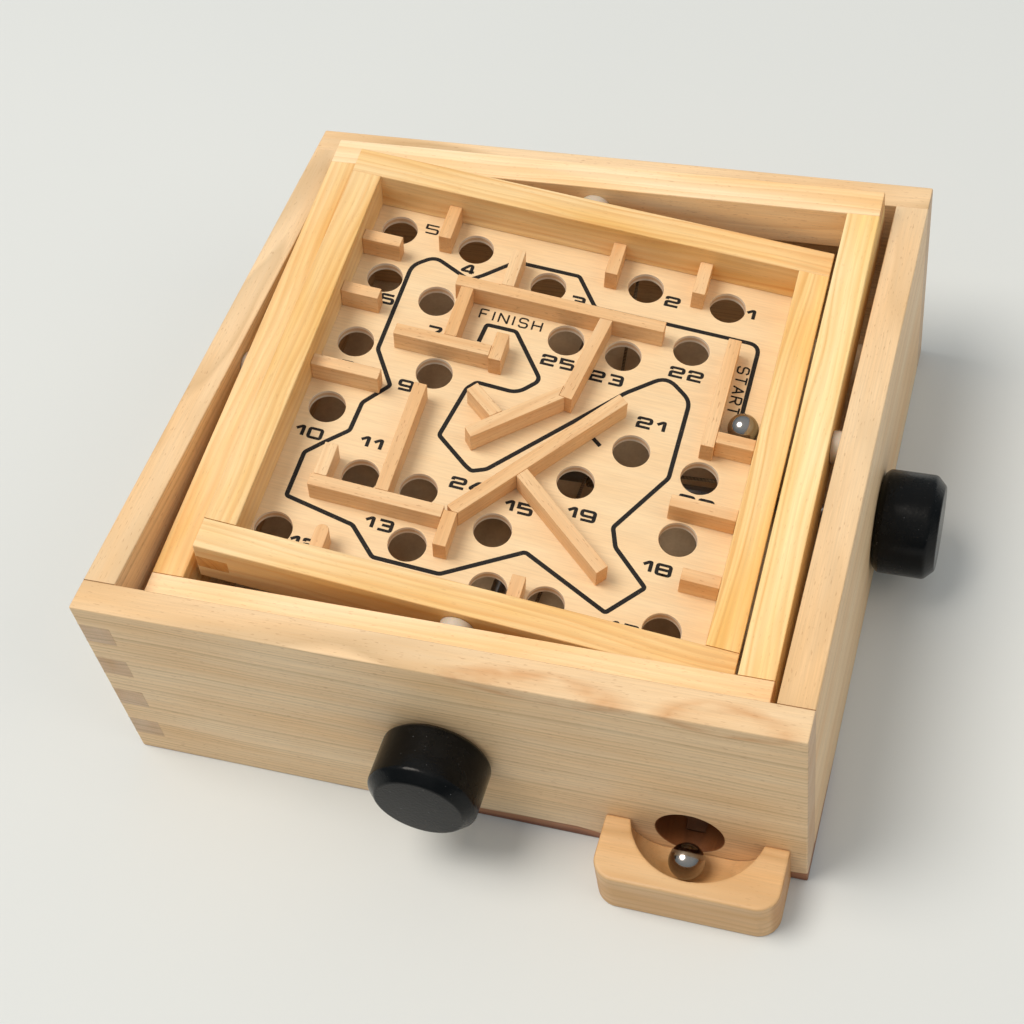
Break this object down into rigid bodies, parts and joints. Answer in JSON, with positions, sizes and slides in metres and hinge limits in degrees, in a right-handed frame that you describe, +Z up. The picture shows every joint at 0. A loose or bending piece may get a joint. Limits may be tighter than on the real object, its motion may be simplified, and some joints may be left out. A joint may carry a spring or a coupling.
{
  "type": "tilt maze game",
  "caption": "Wooden tilt maze game: a finger-jointed box with nested tilting frames, a maze board with holes and lane walls, cord-drive knobs and a ball catch tray.",
  "frame": {"origin": "middle of the whole footprint, knob and tray included, on the table", "axes": "+X to the right, -Y to the front where one knob and the tray are, +Z up"},
  "size_m": [0.3056, 0.3064, 0.1258],
  "materials": {
    "pine": "sanded, clear matt varnish",
    "beech": "sanded, clear matt varnish",
    "plywood": "sanded, printed marks",
    "hardboard": "smooth brown",
    "black_paint": "black paint on turned wood",
    "polished_steel": "polished",
    "steel": "bright drawn",
    "nylon": "natural white",
    "cord": "twisted cord"
  },
  "bodies": {
    "box": {"front_wall": "pine", "right_wall": "pine", "back_wall": "pine", "left_wall": "pine", "return_floor": "hardboard", "catch_tray": "beech", "outer_pivot_pins": "steel", "outer_pivot_spacers": "nylon", "outer_cord": "cord"},
    "outer_frame": {"outer_front_rail": "pine", "outer_right_rail": "pine", "outer_back_rail": "pine", "outer_left_rail": "pine", "inner_pivot_pins": "steel", "inner_pivot_spacers": "nylon", "outer_cord_eyes": "steel", "inner_cord": "cord"},
    "maze_tray": {"inner_front_rail": "pine", "inner_right_rail": "pine", "inner_back_rail": "pine", "inner_left_rail": "pine", "maze_board": "plywood", "inner_cord_eyes": "steel", "lane_back_left_stub": "beech", "lane_back_mid_stub": "beech", "lane_back_right_stub": "beech", "lane_back_gate": "beech", "lane_finish_top": "beech", "lane_finish_left": "beech", "lane_finish_bottom": "beech", "lane_finish_end": "beech", "lane_slant_upper": "beech", "lane_slant_lower": "beech", "lane_slant_block": "beech", "lane_long_diagonal": "beech", "lane_diagonal_foot": "beech", "lane_cross_diagonal": "beech", "lane_left_upright": "beech", "lane_left_crossbar": "beech", "lane_left_hook": "beech", "lane_left_stub_back": "beech", "lane_left_stub_mid": "beech", "lane_left_stub_front": "beech", "lane_start_side": "beech", "lane_start_stop": "beech", "lane_right_stub_back": "beech", "lane_right_stub_front": "beech", "lane_front_stub": "beech", "lane_front_round": "beech"},
    "right_control": {"right_knob": "black_paint", "right_shaft": "steel", "right_cord_winding": "cord", "right_collar": "steel"},
    "front_control": {"front_knob": "black_paint", "front_shaft": "steel", "front_cord_winding": "cord", "front_collar": "steel"},
    "play_ball": {"play_ball": "polished_steel"},
    "tray_ball": {"tray_ball": "polished_steel"}
  },
  "joints": [
    {"name": "outer_tilt", "type": "hinge", "parent": "box", "child": "outer_frame", "pos_m": [-0.01275, 0.01325, 0.087], "axis": [1, 0, 0], "range_deg": [-18.3, 5.7], "deforming": ["outer_cord"]},
    {"name": "inner_tilt", "type": "hinge", "parent": "outer_frame", "child": "maze_tray", "pos_m": [-0.01275, 0.01325, 0.087], "axis": [0, 0.994, 0.1097], "range_deg": [-22, 2], "deforming": ["inner_cord"]},
    {"name": "right_turn", "type": "hinge", "parent": "box", "child": "right_control", "pos_m": [-0.01275, 0.02525, 0.031], "axis": [1, 0, 0], "range_deg": [-82, 262]},
    {"name": "front_turn", "type": "hinge", "parent": "box", "child": "front_control", "pos_m": [-0.01275, 0.01325, 0.045], "axis": [0, 1, 0], "range_deg": [-22.5, 242.5]},
    {"name": "play_ball_roll", "type": "slide", "parent": "maze_tray", "child": "play_ball", "axis": [0, 0.994, 0.1097], "range_m": [0, 0.04]},
    {"name": "tray_ball_lift", "type": "slide", "parent": "box", "child": "tray_ball", "axis": [0, 0, 1], "range_m": [0, 0.05]}
  ],
  "couplings": [
    {"joint": "right_turn", "follows": "outer_tilt", "ratio": -14.3},
    {"joint": "front_turn", "follows": "inner_tilt", "ratio": -11}
  ]
}
